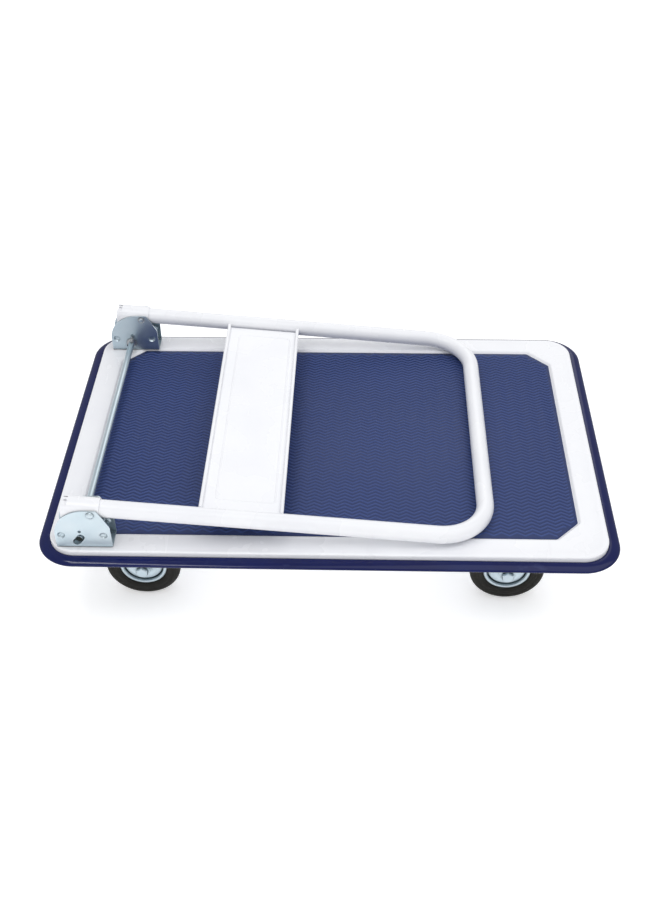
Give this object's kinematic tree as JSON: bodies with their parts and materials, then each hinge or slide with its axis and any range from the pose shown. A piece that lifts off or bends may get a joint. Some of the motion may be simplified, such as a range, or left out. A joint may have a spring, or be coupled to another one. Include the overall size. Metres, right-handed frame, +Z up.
{
  "type": "folding platform trolley",
  "caption": "Folding flat-bed platform trolley with a ribbed deck mat, edge bumper, fold-down tube handle with release bar, two fixed and two swivel castors.",
  "frame": {"origin": "on the floor under the middle of the deck", "axes": "+X along the deck from the hinge end to the free end, +Y to the far side, +Z up"},
  "size_m": [0.924, 0.624, 0.2724],
  "materials": {
    "white_paint": "gloss white powder coat",
    "blue_mat": "ribbed dark blue vinyl, satin",
    "blue_pvc": "glossy dark blue extruded edging",
    "zinc": "bright zinc plate",
    "spring_steel": "plain spring steel",
    "tyre": "dark rubber, matt"
  },
  "bodies": {
    "platform": {"deck_panel": "white_paint", "deck_mat": "blue_mat", "edge_bumper": "blue_pvc", "swivel_castor_channel": "white_paint", "fixed_castor_channel": "white_paint", "deck_stiffener_near": "white_paint", "hinge_bracket_near": "zinc", "bracket_rivet_near_1": "zinc", "bracket_rivet_near_2": "zinc", "pivot_pin_near": "zinc", "pivot_sleeve_near": "zinc", "pivot_clip_near": "spring_steel", "return_spring_near": "spring_steel", "fixed_fork_near": "zinc", "axle_fixed_near": "zinc", "axle_nut_fixed_near": "zinc", "hub_bush_fixed_near": "spring_steel", "swivel_plate_near": "zinc", "swivel_race_near": "zinc", "kingpin_nut_near": "zinc", "kingpin_near": "zinc", "deck_stiffener_far": "white_paint", "hinge_bracket_far": "zinc", "bracket_rivet_far_1": "zinc", "bracket_rivet_far_2": "zinc", "pivot_pin_far": "zinc", "pivot_sleeve_far": "zinc", "pivot_clip_far": "spring_steel", "return_spring_far": "spring_steel", "fixed_fork_far": "zinc", "axle_fixed_far": "zinc", "axle_nut_fixed_far": "zinc", "hub_bush_fixed_far": "spring_steel", "swivel_plate_far": "zinc", "swivel_race_far": "zinc", "kingpin_nut_far": "zinc", "kingpin_far": "zinc"},
    "handle": {"handle_tube": "white_paint", "handle_panel": "white_paint", "handle_saddle_near": "white_paint", "handle_saddle_far": "white_paint"},
    "release_bar": {"release_bar": "zinc", "release_bar_clip_near": "spring_steel", "release_bar_clip_far": "spring_steel"},
    "castor_near": {"swivel_fork_near": "zinc", "axle_swivel_near": "zinc", "axle_nut_swivel_near": "zinc", "hub_bush_swivel_near": "spring_steel"},
    "wheel_fixed_near": {"wheel_rim_fixed_near": "zinc", "tyre_fixed_near": "tyre"},
    "wheel_swivel_near": {"wheel_rim_swivel_near": "zinc", "tyre_swivel_near": "tyre"},
    "castor_far": {"swivel_fork_far": "zinc", "axle_swivel_far": "zinc", "axle_nut_swivel_far": "zinc", "hub_bush_swivel_far": "spring_steel"},
    "wheel_fixed_far": {"wheel_rim_fixed_far": "zinc", "tyre_fixed_far": "tyre"},
    "wheel_swivel_far": {"wheel_rim_swivel_far": "zinc", "tyre_swivel_far": "tyre"}
  },
  "joints": [
    {"name": "handle_fold", "type": "hinge", "parent": "platform", "child": "handle", "pos_m": [-0.364, 0, 0.2533], "axis": [0, -1, 0], "range_deg": [0, 95]},
    {"name": "handle_release", "type": "slide", "parent": "platform", "child": "release_bar", "axis": [-0.6, 0, -0.8], "range_m": [-0.005, 0.005], "stiffness_N_per_m": 4000, "deforming": ["return_spring_near", "return_spring_far"]},
    {"name": "castor_swivel_near", "type": "hinge", "parent": "platform", "child": "castor_near", "pos_m": [-0.348, -0.194, 0.1], "axis": [0, 0, 1], "continuous": true},
    {"name": "wheel_spin_fixed_near", "type": "hinge", "parent": "platform", "child": "wheel_fixed_near", "pos_m": [0.297, -0.194, 0.0625], "axis": [0, 1, 0], "continuous": true},
    {"name": "wheel_spin_swivel_near", "type": "hinge", "parent": "castor_near", "child": "wheel_swivel_near", "pos_m": [-0.314, -0.194, 0.0625], "axis": [0, 1, 0], "continuous": true},
    {"name": "castor_swivel_far", "type": "hinge", "parent": "platform", "child": "castor_far", "pos_m": [-0.348, 0.194, 0.1], "axis": [0, 0, 1], "continuous": true},
    {"name": "wheel_spin_fixed_far", "type": "hinge", "parent": "platform", "child": "wheel_fixed_far", "pos_m": [0.297, 0.194, 0.0625], "axis": [0, 1, 0], "continuous": true},
    {"name": "wheel_spin_swivel_far", "type": "hinge", "parent": "castor_far", "child": "wheel_swivel_far", "pos_m": [-0.314, 0.194, 0.0625], "axis": [0, 1, 0], "continuous": true}
  ]
}
